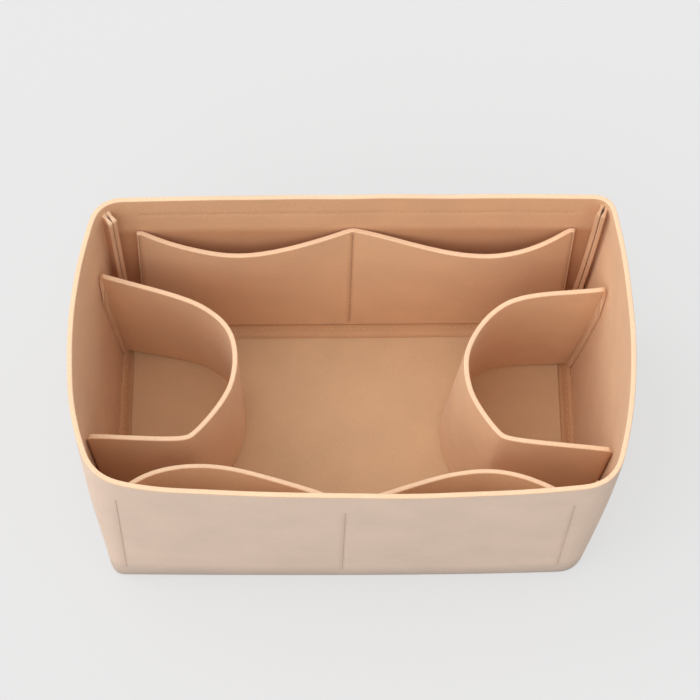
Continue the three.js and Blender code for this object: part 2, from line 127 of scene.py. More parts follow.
def new_node(tree, kind, settings):
    """A node of a kind, with the settings of its inputs."""
    node = tree.nodes.new(kind)
    for setting, value in settings.items():
        node.inputs[setting].default_value = value
    return node


def new_finish(name, settings):
    """A finish, the tree of its nodes and its shader, with the settings of the shader's inputs."""
    finish = bpy.data.materials.new(name)
    finish.use_nodes = True
    shader = finish.node_tree.nodes["Principled BSDF"]
    for setting, value in settings.items():
        shader.inputs[setting].default_value = value
    return finish, finish.node_tree, shader


def seen_directly(tree):
    """1 for rays that come from the eye, from a mirror or through glass, 0 for those that carry light."""
    rays = tree.nodes.new("ShaderNodeLightPath")
    found = rays.outputs["Is Camera Ray"]
    for kind in ("Is Glossy Ray", "Is Transmission Ray"):
        either = tree.nodes.new("ShaderNodeMath")
        either.operation = "MAXIMUM"
        tree.links.new(found, either.inputs[0])
        tree.links.new(rays.outputs[kind], either.inputs[1])
        found = either.outputs[0]
    return found


def floor_finish():
    """Matte paper; to the eye a part of it glows evenly, so that the shadow on it stays faint."""
    finish, tree, paper = new_finish("pale_floor", PAPER)
    glow = tree.nodes.new("ShaderNodeMath")
    glow.operation = "MULTIPLY"
    glow.inputs[1].default_value = FLOOR_GLOW
    tree.links.new(seen_directly(tree), glow.inputs[0])
    tree.links.new(glow.outputs[0], paper.inputs["Emission Strength"])
    return finish


floor_mesh = bmesh.new()
bmesh.ops.create_grid(floor_mesh, x_segments=1, y_segments=1, size=FLOOR_HALF)
bmesh.ops.translate(floor_mesh, verts=floor_mesh.verts, vec=(0, 0, -FLOOR_DROP))
floor = new_object("floor", floor_mesh, floor_finish())
print("floor:", 2 * FLOOR_HALF, "m wide")

# %% Light
AROUND = 0.76  # light from all round, as a share of white paper
BACKDROP = 0.8  # what the eye sees behind the floor
LAMP = 1.75
LAMP_SPREAD = math.radians(90)
LAMP_FROM = Vector((-0.52, -0.25, 0.79))

world = bpy.data.worlds.new("studio")
world.use_nodes = True
bpy.context.scene.world = world
world_nodes = world.node_tree.nodes
world_links = world.node_tree.links
around = world_nodes["Background"]
around.inputs["Color"].default_value = WHITE
around.inputs["Strength"].default_value = AROUND
backdrop = new_node(world.node_tree, "ShaderNodeBackground", {"Color": WHITE, "Strength": BACKDROP})
choose = world_nodes.new("ShaderNodeMixShader")
world_links.new(seen_directly(world.node_tree), choose.inputs["Fac"])
world_links.new(around.outputs[0], choose.inputs[1])
world_links.new(backdrop.outputs[0], choose.inputs[2])
world_links.new(choose.outputs[0], world_nodes["World Output"].inputs["Surface"])

sun = bpy.data.lights.new("broad_lamp", "SUN")
sun.energy = LAMP
sun.angle = LAMP_SPREAD
lamp = bpy.data.objects.new("broad_lamp", sun)
lamp.rotation_euler = LAMP_FROM.to_track_quat("Z", "Y").to_euler()
bpy.context.scene.collection.objects.link(lamp)

scene_view = bpy.context.scene.view_settings
scene_view.view_transform = "Standard"
print("light around:", AROUND, "lamp:", LAMP)

# %% [markdown]
# ## Sizes
# All felt is one thickness. The box leans out and swells towards the rim, because soft walls do.
# Most of these are the measures of the frame. Some differ by a few millimetres, to follow the photograph
# more closely than the solids do.

# %% Sizes of the felt and the box
FELT = 3 * MM
LAY_GAP = 0.3 * MM  # air between two layers that lie on each other
HEIGHT = frame_high.z
BASE_LENGTH = 284 * MM
BASE_DEPTH = 170 * MM
BASE_SHIFT = -3.6 * MM  # how far the floor has slipped along the length from under the rim
END_LEAN = 6.5 * MM
FRONT_LEAN = 6.5 * MM
BACK_LEAN = 9.5 * MM
END_BOW = 13 * MM
FRONT_BOW = 6.5 * MM
FRONT_FOOT_BOW = 1.3 * MM
FRONT_SKEW = 0.45  # moves the fullest place of the front wall to the right
BACK_BOW = 1.3 * MM
BOW_RISE = 2
FRONT_DRAW = 7.5 * MM  # how far the front wall draws back at its left corner
DRAW_START = 0.65  # where that starts, as a share of the half length
BACK_FLARE = 5 * MM  # how much further the right end wall stands out at its back corner
FLARE_START = -0.3  # where that starts, as a share of the half depth
END_DRAWS = {"left": 6.5 * MM, "right": 2.5 * MM}  # how far the end walls draw in at their front corners
END_DRAW_START = 0.25  # where that starts, as a share of the half depth
END_DRAW_RISE = 4  # they do so mostly close to the rim
LEAST_CORNER = 2.4 * FELT  # what a bend in felt needs
CORNERS = {  # each named by the side before it; a fin is the seam allowance there
    "front": SimpleNamespace(floor=16 * MM, rim=18 * MM, fin_drop=24 * MM, fin_lean=0),
    "right": SimpleNamespace(floor=8 * MM, rim=12 * MM, fin_drop=5 * MM, fin_lean=math.radians(15)),
    "back": SimpleNamespace(floor=10 * MM, rim=16 * MM, fin_drop=8 * MM, fin_lean=0),
    "left": SimpleNamespace(floor=8 * MM, rim=15 * MM, fin_drop=26 * MM, fin_lean=math.radians(15)),
}
TURN_UP = 5 * MM  # height of the floor's turned-up edge above the floor
LINING = FELT + LAY_GAP  # depth, from a wall's outer face, of a layer sewn inside it
LINING_FACE = LINING + FELT
SEWN_BOTTOM = FELT + TURN_UP + LAY_GAP
POCKET_LIFT = 2.5 * MM
POCKET_BOTTOM = SEWN_BOTTOM + POCKET_LIFT
SWAY = 0.7 * MM  # how far the hand-made walls wander from the true shape
SWAY_LENGTH = 42 * MM
SWAY_START = 20 * MM  # height below which the floor keeps the walls straight
SWAY_APART = math.e  # keeps the wandering of the four walls apart

# %% [markdown]
# ## The plan of the box
# Each wall is a shallow arc in plan, and neighbours meet in a rounded corner. A lattice could bend a
# straight box into this form. A few formulas do it here, because pockets, holders and stitches then follow
# the same walls.

# %% Plan of the walls at any height
SIDES = ("front", "right", "back", "left")  # anticlockwise, seen from above
TRAVEL = {"front": 1, "right": 1, "back": -1, "left": -1}
TANGENT_STEP = 0.01 * MM


def mix(low, high, share):
    return low + (high - low) * share


def clamp(value):
    return min(max(value, 0.0), 1.0)


def plan_at(z, inset=FELT / 2):
    """The walls' plan at height z, on the surface that lies inset behind their outer face."""
    rise = max(z, 0) / HEIGHT
    swell = 1 - (1 - rise) ** BOW_RISE
    corners = {}
    for side, corner in CORNERS.items():
        length = max(mix(corner.floor, corner.rim, rise) - FELT / 2, LEAST_CORNER)
        corners[side] = length + FELT / 2 - min(inset, LINING_FACE)
    return SimpleNamespace(
        z=z,
        shift=BASE_SHIFT * (1 - rise),
        half=BASE_LENGTH / 2 + END_LEAN * rise - inset,
        front=-BASE_DEPTH / 2 - FRONT_LEAN * rise + inset,
        back=BASE_DEPTH / 2 + BACK_LEAN * rise - inset,
        corners=corners,
        end_bow=END_BOW * swell,
        front_bow=mix(FRONT_FOOT_BOW, FRONT_BOW, swell),
        back_bow=BACK_BOW * swell,
        front_draw=FRONT_DRAW * swell,
        back_flare=BACK_FLARE * swell,
        end_draws={side: draw * rise**END_DRAW_RISE for side, draw in END_DRAWS.items()},
    )


def sway(side, s, reach, z):
    """Small wandering of a wall, none at its corners and near the floor."""
    held = clamp(1 - (s / reach) ** 2) ** 2 * clamp(z / SWAY_START - 1)
    at = Vector((s, z, 0)) / SWAY_LENGTH
    at.z = SIDES.index(side) * SWAY_APART
    return SWAY * held * noise.noise(at)


def side_point(side, s, plan):
    """A point of one side: s is x from the middle along the front and the back, and y along the ends."""
    if side in ("front", "back"):
        share = s / plan.half
        swelling = 1 - share**2
        wander = sway(side, s, plan.half, plan.z)
        if side == "back":
            return Vector((s + plan.shift, plan.back + plan.back_bow * swelling + wander))
        drawn = plan.front_draw * max((-share - DRAW_START) / (1 - DRAW_START), 0) ** 2
        y = plan.front - plan.front_bow * swelling * (1 + FRONT_SKEW * share) + drawn - wander
        return Vector((s + plan.shift, y))
    middle = (plan.front + plan.back) / 2
    reach = plan.back - middle
    share = (s - middle) / reach
    x = plan.half + plan.end_bow * (1 - share**2) + sway(side, s - middle, reach, plan.z)
    x -= plan.end_draws[side] * max((-share - END_DRAW_START) / (1 - END_DRAW_START), 0) ** 2
    flared = x + plan.back_flare * max((share - FLARE_START) / (1 - FLARE_START), 0) ** 2
    return Vector(((flared if side == "right" else -x) + plan.shift, s))


def side_tangent(side, s, plan):
    step = TANGENT_STEP * TRAVEL[side]
    return (side_point(side, s + step, plan) - side_point(side, s - step, plan)).normalized()


def side_range(side, plan):
    """The first and the last place of a side between its two corners."""
    front_left = plan.end_draws["left"] - plan.half
    front_right = plan.half - plan.end_draws["right"]
    flared = plan.half + plan.back_flare
    drawn = plan.front + plan.front_draw
    near = {"front": front_left, "right": plan.front, "back": flared, "left": plan.back}[side]
    far = {"front": front_right, "right": plan.back, "back": -plan.half, "left": drawn}[side]
    before = plan.corners[SIDES[SIDES.index(side) - 1]]
    return near + before * TRAVEL[side], far - plan.corners[side] * TRAVEL[side]


def corner_after(side, plan):
    """Start, control point and end of the rounded corner that follows a side."""
    following = SIDES[(SIDES.index(side) + 1) % len(SIDES)]
    leave_at = side_range(side, plan)[1]
    arrive_at = side_range(following, plan)[0]
    start = side_point(side, leave_at, plan)
    end = side_point(following, arrive_at, plan)
    leaving = side_tangent(side, leave_at, plan)
    arriving = side_tangent(following, arrive_at, plan)
    length = (end - start).cross(arriving) / leaving.cross(arriving)
    return start, start + leaving * length, end


def bent(start, control, end, t):
    """A point of the smooth bend from start to end that heads for the control point first."""
    return (1 - t) ** 2 * start + 2 * t * (1 - t) * control + t**2 * end


def behind_face(side, s, z, depth):
    """A point at a depth behind a wall's outer face, and the inward direction there."""
    plan = plan_at(z)
    inward = side_tangent(side, s, plan).orthogonal()
    point = side_point(side, s, plan) + inward * (depth - FELT / 2)
    return point.to_3d() + Vector((0, 0, z)), inward.to_3d()


print("rim, half length:", round(plan_at(HEIGHT, 0).half + END_BOW, 4), "m")

# %% [markdown]
# ## Felt
# Pressed felt is a mat of short fibres. From near it shows matted strands and flecks, from afar a soft,
# even colour with a faint cloudiness, and it has no shine but a little bloom at a slant.
# A weave texture would be wrong here. Noise at three scales gives clouds, strands and flecks.
# The cut edges are paler and rougher than the pressed faces, so they have a finish of their own. Their
# paleness is partly the paler fibres of cut felt and partly a painted highlight, where the light from above
# falls on them.
# Shade is painted into the felt: it is darker in seams, folds and recesses and where shade falls on it.
# Each sheet carries its painted shade at every point, for its two faces apart, and the finish mixes in a
# second, shaded colour by it.

# %% Felt finishes
# OUTSIDE and INSIDE colours are a lit and a shaded copy of one felt: the inside is painted darker and more
# saturated, as shade and light bounced inside the box make it
OUTSIDE_COLOUR = (0.96, 0.725, 0.57)
INSIDE_COLOUR = (0.78, 0.49, 0.285)
# the cut edges' paleness: partly the felt's own, partly a painted highlight
EDGE_COLOUR = (0.93, 0.64, 0.42)
BOARD_COLOUR = (0.7, 0.465, 0.28)
# colours of painted shade: each felt's colour where shade falls on it
OUTSIDE_SHADED_COLOUR = (0.52, 0.42, 0.355)
INSIDE_SHADED_COLOUR = (0.6, 0.3, 0.145)
EDGE_SHADED_COLOUR = (0.68, 0.4, 0.23)
CLOTH = {"Specular IOR Level": 0.12, "Sheen Weight": 0.18, "Sheen Roughness": 0.55}
STRANDS = {"Scale": 420, "Detail": 7, "Roughness": 0.72, "Distortion": 2.6}  # scale: per metre
FLECKS = {"Scale": 1300, "Detail": 4, "Roughness": 0.65, "Distortion": 0.8}
CLOUDS = {"Scale": 38, "Detail": 3, "Roughness": 0.5, "Distortion": 0}
NOISE_LOW = 0.3  # nearly all of a noise pattern lies between these two
NOISE_HIGH = 0.7
CLOUDINESS = 0.035
STRAND_HEIGHT = 0.35 * MM
FLECK_HEIGHT = 0.15 * MM
FELT_ROUGHNESS = (0.88, 1)


def texture_noise(tree, settings):
    """A noise pattern on the piece's own coordinates."""
    place = tree.nodes.new("ShaderNodeTexCoord")
    pattern = new_node(tree, "ShaderNodeTexNoise", settings)
    tree.links.new(place.outputs["Object"], pattern.inputs["Vector"])
    return pattern.outputs["Fac"]


def shade(tree, pattern, low, high):
    """Spreads a pattern between two grey levels, to multiply a colour with."""
    levels = {"From Min": NOISE_LOW, "From Max": NOISE_HIGH, "To Min": low, "To Max": high}
    spread = new_node(tree, "ShaderNodeMapRange", levels)
    tree.links.new(pattern, spread.inputs["Value"])
    return spread.outputs["Result"]


def tinted(tree, colour, grey):
    """The colour times a grey pattern."""
    product = tree.nodes.new("ShaderNodeVectorMath")
    product.operation = "SCALE"
    if isinstance(colour, tuple):
        product.inputs["Vector"].default_value = colour
    else:
        tree.links.new(colour, product.inputs["Vector"])
    tree.links.new(grey, product.inputs["Scale"])
    return product.outputs["Vector"]


def raised(tree, pattern, height, strength, under=None):
    """Relief from a pattern, on top of another relief."""
    relief = new_node(tree, "ShaderNodeBump", {"Distance": height, "Strength": strength})
    tree.links.new(pattern, relief.inputs["Height"])
    if under:
        tree.links.new(under, relief.inputs["Normal"])
    return relief.outputs["Normal"]


def felt_finish(name, colour, painted_shade, fleck, relief, layer="painted_shade"):
    """Felt of one colour: its colour in painted shade, how strongly its strands show and how rough it is.
    """
    finish, tree, cloth = new_finish(name, CLOTH)
    clouds, strands, flecks = [texture_noise(tree, settings) for settings in (CLOUDS, STRANDS, FLECKS)]
    # the painted-shade layer mixes the felt's colour towards its shaded colour
    shade_layer = tree.nodes.new("ShaderNodeAttribute")
    shade_layer.attribute_name = layer
    shade_mix = tree.nodes.new("ShaderNodeMix")
    shade_mix.data_type = "VECTOR"
    sockets = {socket.identifier: socket for socket in (*shade_mix.inputs, *shade_mix.outputs)}
    sockets["A_Vector"].default_value = colour
    sockets["B_Vector"].default_value = painted_shade
    tree.links.new(shade_layer.outputs["Fac"], sockets["Factor_Float"])
    look = tinted(tree, sockets["Result_Vector"], shade(tree, clouds, 1 - CLOUDINESS, 1 + CLOUDINESS))
    look = tinted(tree, look, shade(tree, strands, 1 - fleck, 1 + fleck))
    look = tinted(tree, look, shade(tree, flecks, 1 - fleck / 2, 1 + fleck / 2))
    tree.links.new(look, cloth.inputs["Base Color"])
    tree.links.new(shade(tree, strands, *FELT_ROUGHNESS), cloth.inputs["Roughness"])
    fuzz = raised(tree, strands, STRAND_HEIGHT, relief)
    tree.links.new(raised(tree, flecks, FLECK_HEIGHT, relief, fuzz), cloth.inputs["Normal"])
    return finish


outside_felt = felt_finish("felt_outside", OUTSIDE_COLOUR, OUTSIDE_SHADED_COLOUR, fleck=0.05, relief=0.35)
inside_felt = felt_finish(
    "felt_inside", INSIDE_COLOUR, INSIDE_SHADED_COLOUR, fleck=0.06, relief=0.35, layer="inner_painted_shade"
)
cut_edge = felt_finish("felt_cut_edge", EDGE_COLOUR, EDGE_SHADED_COLOUR, fleck=0.09, relief=0.6)
board_felt = felt_finish("felt_board", BOARD_COLOUR, INSIDE_SHADED_COLOUR, fleck=0.06, relief=0.3)
print("felt finishes:", [m.name for m in bpy.data.materials if m.name.startswith("felt")])

# %% [markdown]
# ## Cutting and bending a sheet
# Every felt piece starts flat, as it does on the cutting table: a grid, with what the cut takes off
# deleted. Each grid point is then bent into place. A Solidify modifier gives the sheet its thickness,
# thinner where a seam presses it, and a Bevel modifier softens the cut edges, which are marked with a
# weight. Modelling the thick shape directly would work too, but then the two faces could drift apart.

# %% Felt sheets
EDGE_ROUND = 0.7 * MM
EDGE_SEGMENTS = 3
SEAM_WIDTH = 1.5 * MM  # how far a seam presses the felt to each side
SEAM_PRESS = 0.5  # share of the thickness that a seam takes away
SEAM_STEP = 0.8 * MM  # between the grid's lines beside a seam
SEAM_STEPS = 5
SPACING = 2.8 * MM  # between them elsewhere


def press_at(distance):
    """Share of the thickness taken away at a distance from a seam."""
    return SEAM_PRESS * math.exp(-((distance / SEAM_WIDTH) ** 2))


def stations(low, high, seams=()):
    """Places from low to high: evenly spaced, and closer together beside each seam."""
    count = max(round(abs(high - low) / SPACING), 1)
    places = [mix(low, high, i / count) for i in range(count + 1)]
    reach = SEAM_STEP * (SEAM_STEPS + 1)
    for seam in seams:
        places = [p for p in places if abs(p - seam) > reach or p in (low, high)]
        beside = [seam + SEAM_STEP * i for i in range(-SEAM_STEPS, SEAM_STEPS + 1)]
        places += [p for p in beside if min(low, high) + SEAM_STEP < p < max(low, high) - SEAM_STEP]
    return sorted(places, reverse=high < low)


def cut_sheet(columns, rows, bend, cut_away=None, butted=None, inner=None):
    """A flat grid, cut, then bent.

    bend gives each grid point its place, how hard it is pressed and its painted shade. Points that are
    butted against another sheet get no soft edge between them. The inner face has the same painted shade
    unless inner gives another.
    """
    flat = bmesh.new()
    bmesh.ops.create_grid(flat, x_segments=columns, y_segments=rows, size=0.5)
    if cut_away:
        spare = []
        for face in flat.faces:
            middle = face.calc_center_median()
            if cut_away(int((middle.x + 0.5) * columns), int((middle.y + 0.5) * rows)):
                spare.append(face)
        bmesh.ops.delete(flat, geom=spare, context="FACES")
    thickness = flat.verts.layers.deform.verify()
    # two layers of painted shade, for the outer and the inner face
    painted_shade = flat.verts.layers.float.new("painted_shade")
    inner_painted_shade = flat.verts.layers.float.new("inner_painted_shade")
    sharp = flat.verts.layers.int.new("butted")
    for knot in flat.verts:
        column = round((knot.co.x + 0.5) * columns)
        row = round((knot.co.y + 0.5) * rows)
        knot.co, pressed, knot[painted_shade] = bend(column, row)
        knot[thickness][0] = 1 - pressed
        knot[inner_painted_shade] = inner(column, row) if inner else knot[painted_shade]
        knot[sharp] = butted(column, row) if butted else 0
    return flat


def felt_piece(name, sheet, finishes, node, flat):
    """Thickens a bent sheet, softens its edges and puts it in its node's place."""
    weight = sheet.edges.layers.float.new("bevel_weight_edge")
    sharp = sheet.verts.layers.int["butted"]
    for edge in sheet.edges:
        edge.smooth = not all(knot[sharp] for knot in edge.verts)
        edge[weight] = edge.is_boundary and edge.smooth
    piece = new_object(name, sheet, *finishes)
    piece.vertex_groups.new(name="thickness")
    edge_slot = len(finishes) - 1
    felt = piece.modifiers.new("felt_thickness", "SOLIDIFY")
    felt.thickness = FELT
    felt.offset = 0
    felt.use_even_offset = True
    felt.vertex_group = "thickness"
    felt.material_offset = edge_slot - 1
    felt.material_offset_rim = edge_slot
    soft = piece.modifiers.new("soft_edges", "BEVEL")
    soft.width = EDGE_ROUND
    soft.segments = EDGE_SEGMENTS
    soft.limit_method = "WEIGHT"
    soft.use_clamp_overlap = False
    soft.harden_normals = True
    soft.material = edge_slot
    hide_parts(node)
    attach(piece, "box")
    print(name, "from a flat cut of", [round(x, 3) for x in flat], "m")


def length_of(line):
    return sum((b - a).length for a, b in zip(line, line[1:]))


# %% [markdown]
# ## Seams
# A line of stitching pulls the felt in. The places of all lines are named first, because walls, pockets and
# holders are pressed along them, and the stitches themselves come last.

# %% Places of the seams
STITCH_END = 3 * MM  # from the end of a seam to the edge of the felt
RIM_STITCH_DROP = 15 * MM
RIM_PRESS = 0.5  # how hard the line under the rim presses, as a share of other seams
BASE_SEAM_Z = FELT + TURN_UP / 2
POCKET_SEAM_EDGE = 2.5 * MM  # width of the flat strip at each end of a panel, with the seam in its middle
# Insets: from where the wall's corners begin, left and right. Gapes, skews and powers: of the left and the
# right pocket. A positive skew moves the fullest place of a mouth towards its side seam, and a power below
# 1 opens the mouth wide close to its seams.
POCKETS = {
    "front": SimpleNamespace(
        top=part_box("front_pocket_panel")[1].z,
        insets=(-3 * MM, 0.3 * MM),
        centre=-3.5 * MM,
        gapes=(26.2 * MM, 24 * MM),
        skews=(0.58, 0.4),
        powers=(0.6, 0.9),
    ),
    "back": SimpleNamespace(
        top=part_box("back_pocket_panel")[1].z,
        insets=(5.7 * MM, 0.3 * MM),
        centre=2.1 * MM,
        gapes=(10.5 * MM, 12.7 * MM),
        skews=(0.3, 0.75),
        powers=(0.9, 0.9),
    ),
}
HOLDER_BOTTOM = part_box("left_bottle_holder")[0].z
HOLDER_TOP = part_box("left_bottle_holder")[1].z
HOLDER_FLANGE = 5 * MM  # width of the turned-in ends
FLANGE_SEAM = 0.5  # where their seam runs, as a share of that
FLANGE_TRIM = 26 * MM  # how far they are trimmed down to their cut edge
# Seams: how far the two folds lie from the back and the front wall. Reach and shoulders: how far the nose
# and the two turns stand out from the end wall. Slants: how much nearer to the other leg the turns lie than
# the folds. Nose shares: of the way from the back turn to the front one. Front turn: how far that bend
# reaches to each side. Foot values: what the loop gains at its foot, inwards and towards the back.
HOLDERS = {
    "left": SimpleNamespace(
        back_seam=16 * MM,
        front_seam=41.5 * MM,
        reach=69.7 * MM,
        back_shoulder=53.7 * MM,
        back_slant=23.5 * MM,
        front_shoulder=47 * MM,
        front_slant=-1 * MM,
        nose_back=0.22,
        nose_front=0.6,
        front_turn=3 * MM,
        foot_reach=3 * MM,
        foot_spread=8 * MM,
    ),
    "right": SimpleNamespace(
        back_seam=28 * MM,
        front_seam=30.4 * MM,
        reach=69 * MM,
        back_shoulder=46.5 * MM,
        back_slant=10 * MM,
        front_shoulder=51.8 * MM,
        front_slant=9.3 * MM,
        nose_back=0.33,
        nose_front=0.65,
        front_turn=2.5 * MM,
        foot_reach=9 * MM,
        foot_spread=3 * MM,
    ),
}


def holder_ends(holder):
    """The y of a holder's back and front fold on its end wall."""
    plan = plan_at(0, FELT)
    return plan.back - holder.back_seam, plan.front + holder.front_seam


def pocket_ends(side):
    """The left and the right cut end of a pocket panel."""
    pocket = POCKETS[side]
    ranges = [side_range(side, plan_at(z)) for z in (POCKET_BOTTOM, pocket.top)]
    left = max(min(places) for places in ranges) + pocket.insets[0]
    right = min(max(places) for places in ranges) - pocket.insets[1]
    return left, right


def wall_seams(side):
    """The stitch lines that run up a wall: their places, their lower and their upper end."""
    if side in HOLDERS:
        back, front = holder_ends(HOLDERS[side])
        places = (back - HOLDER_FLANGE * FLANGE_SEAM, front + HOLDER_FLANGE * FLANGE_SEAM)
        trimmed = FLANGE_TRIM * (FLANGE_SEAM + STITCH_END / HOLDER_FLANGE)
        return places, HOLDER_BOTTOM + STITCH_END, HOLDER_TOP - trimmed
    left, right = pocket_ends(side)
    places = (left + POCKET_SEAM_EDGE / 2, POCKETS[side].centre, right - POCKET_SEAM_EDGE / 2)
    return places, POCKET_BOTTOM + STITCH_END, POCKETS[side].top - STITCH_END


def seam_press(side, s, z):
    """How hard the seams that run up a wall press what is sewn to it."""
    places, low, high = wall_seams(side)
    beyond = max(low - z, z - high, 0)
    return max(press_at(math.hypot(s - place, beyond)) for place in places)


def rim_press(s, z):
    """How hard the line of stitching under the back rim presses the back wall."""
    left, right = pocket_ends("back")
    outside = max(left + POCKET_SEAM_EDGE - s, s - right + POCKET_SEAM_EDGE, 0)
    return RIM_PRESS * press_at(math.hypot(z - HEIGHT + RIM_STITCH_DROP, outside))


for side in SIDES:
    print(side, "seams at", [round(place, 4) for place in wall_seams(side)[0]])

# %% [markdown]
# ## The four walls
# Neighbouring walls are sewn face to face and turned, so at each corner both turn in and end in a seam
# allowance that stands inside the box. The allowance is trimmed below the rim and above the floor.
# A fold could be modelled in one sheet with the wall, but so tight a fold pinches when it is thickened. So
# the grid is cut along it: the wall runs to the seam's plane, and its allowance starts inside its felt.
# The felt carries painted shade: outside towards its foot, on the allowances, and on the back wall's inner
# face, darkest behind its pockets.

# %% Walls
FIN_WIDTH = 7 * MM
FIN_CUT = 2 * MM  # how far the tip is cut back above and below
FIN_STITCH = 4 * MM  # from the walls' inner face to the stitches
BUTT_GAP = 0.02 * MM  # between each layer and the seam's plane
FIN_AWAY = BUTT_GAP + FELT / 2  # from the seam's plane to the middle of one layer
FIN_BOTTOM = SEWN_BOTTOM + LAY_GAP
FIN_STEPS = 4
PALE_FIN = "back"  # the corner whose allowance shows its cut end
CORNER_MIDDLE = 0.5  # where the seam runs, as a share of the corner
CORNER_SHARES = (0, 0.03, 0.2, 0.4, 0.6, 0.8)  # from the seam's plane to the end of the corner
WALL_PRESS = 0.35  # how hard a seam presses a wall, as a share of what it does to the piece sewn on
TUCK = 1 * MM  # how far the lower edge draws in
TUCK_HEIGHT = 9.5 * MM
FOOT_SHADE = 0.75  # painted shade on the outside at its lower edge
FOOT_HEIGHT = 22 * MM
FOOT_STEPS = 6
WALL_START = 0.85 * MM  # height of the lowest row
BACK_SHADE = 0.27  # painted shade on the back wall's inner face, as a share of its shaded colour
POCKET_SHADE = 0.95  # the same behind its pockets
SHADE_STEP = 3 * MM  # height over which the one turns into the other


def tuck(z):
    """How far a wall draws in at height z."""
    return TUCK * clamp(1 - z / TUCK_HEIGHT) ** 2


def seam_frame(side, plan):
    """The seam after a side: its corner, its place, its direction of travel and the inward one."""
    corner = corner_after(side, plan)
    along = (corner[2] - corner[0]).normalized()
    along.rotate(Matrix.Rotation(CORNERS[side].fin_lean, 2))
    return corner, bent(*corner, CORNER_MIDDLE), along, along.orthogonal()


def fin_top(side):
    """Where the cut above the allowance after a side meets the wall."""
    return HEIGHT - CORNERS[side].fin_drop + FIN_CUT


def wall_end(side, plan, way):
    """An allowance from tip to root, then half the corner; way is 1 for the wall after the seam."""
    corner, seam, along, inward = seam_frame(side, plan)
    root = seam + along * way * FIN_AWAY
    line = [root + inward * (FELT / 2 + FIN_WIDTH) * (1 - i / FIN_STEPS) for i in range(FIN_STEPS + 1)]
    far = 1 if way > 0 else 0
    half = [bent(*corner, mix(CORNER_MIDDLE, far, share)) for share in CORNER_SHARES]
    half[0] += (corner[2] - corner[0]).normalized() * way * BUTT_GAP
    return line + half


def wall_heights(side, tops):
    """The rows of a wall, with one row at each end of its two allowances."""
    rim_seam = (HEIGHT - RIM_STITCH_DROP,) if side == "back" else ()
    heights = [mix(WALL_START, FIN_BOTTOM, i / FOOT_STEPS) for i in range(FOOT_STEPS)]
    low = FIN_BOTTOM
    for top in sorted(set(tops)):
        heights += stations(low, top, rim_seam)[:-1]
        low = top
    return heights + stations(low, HEIGHT)


def wall_piece(side):
    before = SIDES[SIDES.index(side) - 1]
    tops = (fin_top(before), fin_top(side))
    heights = wall_heights(side, tops)

    def row_at(z):
        return min(range(len(heights)), key=lambda i: abs(heights[i] - z))

    lowest = row_at(FIN_BOTTOM)
    highest = [row_at(top) for top in tops]
    low, high = side_range(side, plan_at(HEIGHT / 2))
    shares = [(s - low) / (high - low) for s in stations(low, high, wall_seams(side)[0])]
    lines = []
    for z in heights:
        plan = plan_at(z, FELT / 2 + tuck(z))
        near, far = side_range(side, plan)
        start = wall_end(before, plan, 1)
        end = wall_end(side, plan, -1)
        lines.append(start + [side_point(side, mix(near, far, t), plan) for t in shares] + end[::-1])
    columns = len(lines[0]) - 1
    wall_first = FIN_STEPS + 1
    side_first = wall_first + len(CORNER_SHARES)

    def sewn(column, row):
        """Place, press and painted shade, as the seams leave the felt: shade in their grooves and on the
        allowances.
        """
        z = heights[row]
        from_end = min(column, columns - column)
        corner, top = (before, highest[0]) if column < columns / 2 else (side, highest[1])
        pressed = 0
        painted_shade = 0
        lift = 0
        if from_end >= side_first:
            near, far = side_range(side, plan_at(z))
            s = mix(near, far, shares[column - side_first])
            pressed = WALL_PRESS * seam_press(side, s, z)
            if side == "back":
                pressed = max(pressed, rim_press(s, z))
            # painted shade in the seams' grooves, as strong as they press
            painted_shade = pressed
        elif from_end < wall_first:
            pressed = press_at(FIN_WIDTH * (1 - from_end / FIN_STEPS) - FIN_STITCH)
            # the allowances are painted in full shade, except the top rows of the pale one
            painted_shade = 0 if row >= top - 1 and corner == PALE_FIN else 1
            trim = FIN_CUT * (1 - from_end / FIN_STEPS)
            lift = trim if row == lowest else -trim if row == top else 0
        return lines[row][column].to_3d() + Vector((0, 0, z + lift)), pressed, painted_shade

    def bend(column, row):
        point, pressed, painted_shade = sewn(column, row)
        # painted shade on the outside, growing towards the foot
        return point, pressed, max(painted_shade, FOOT_SHADE * clamp(1 - heights[row] / FOOT_HEIGHT))

    def cut_away(column, row):
        from_end = min(column, columns - 1 - column)
        top = highest[0 if column < columns / 2 else 1]
        return from_end == FIN_STEPS or (from_end < FIN_STEPS and not lowest <= row < top)

    def butted(column, row):
        return min(column, columns - column) == wall_first

    def inner(column, row):
        painted_shade = sewn(column, row)[2]
        if side != "back":
            return painted_shade
        # the back wall's inner face is painted with shade, darker below its pockets' top
        behind = clamp((POCKETS[side].top - heights[row]) / SHADE_STEP)
        return max(painted_shade, mix(BACK_SHADE, POCKET_SHADE, behind))

    sheet = cut_sheet(columns, len(heights) - 1, bend, cut_away, butted, inner)
    flat = (length_of(lines[len(lines) // 2]), HEIGHT)
    name = side + "_end_wall" if side in HOLDERS else side + "_wall"
    finishes = (outside_felt, inside_felt, cut_edge)
    felt_piece("felt_" + name, sheet, finishes, name, flat)


for side in SIDES:
    wall_piece(side)

# %% [markdown]
# ## The floor panel
# The floor is one sheet whose edge is turned up inside the walls and sewn to them. It is a tape of felt
# round the box that is closed into a ring, narrows over the fold to the flat floor, and has its middle
# filled. A scaled cube with a bevel would have no fold of even thickness.

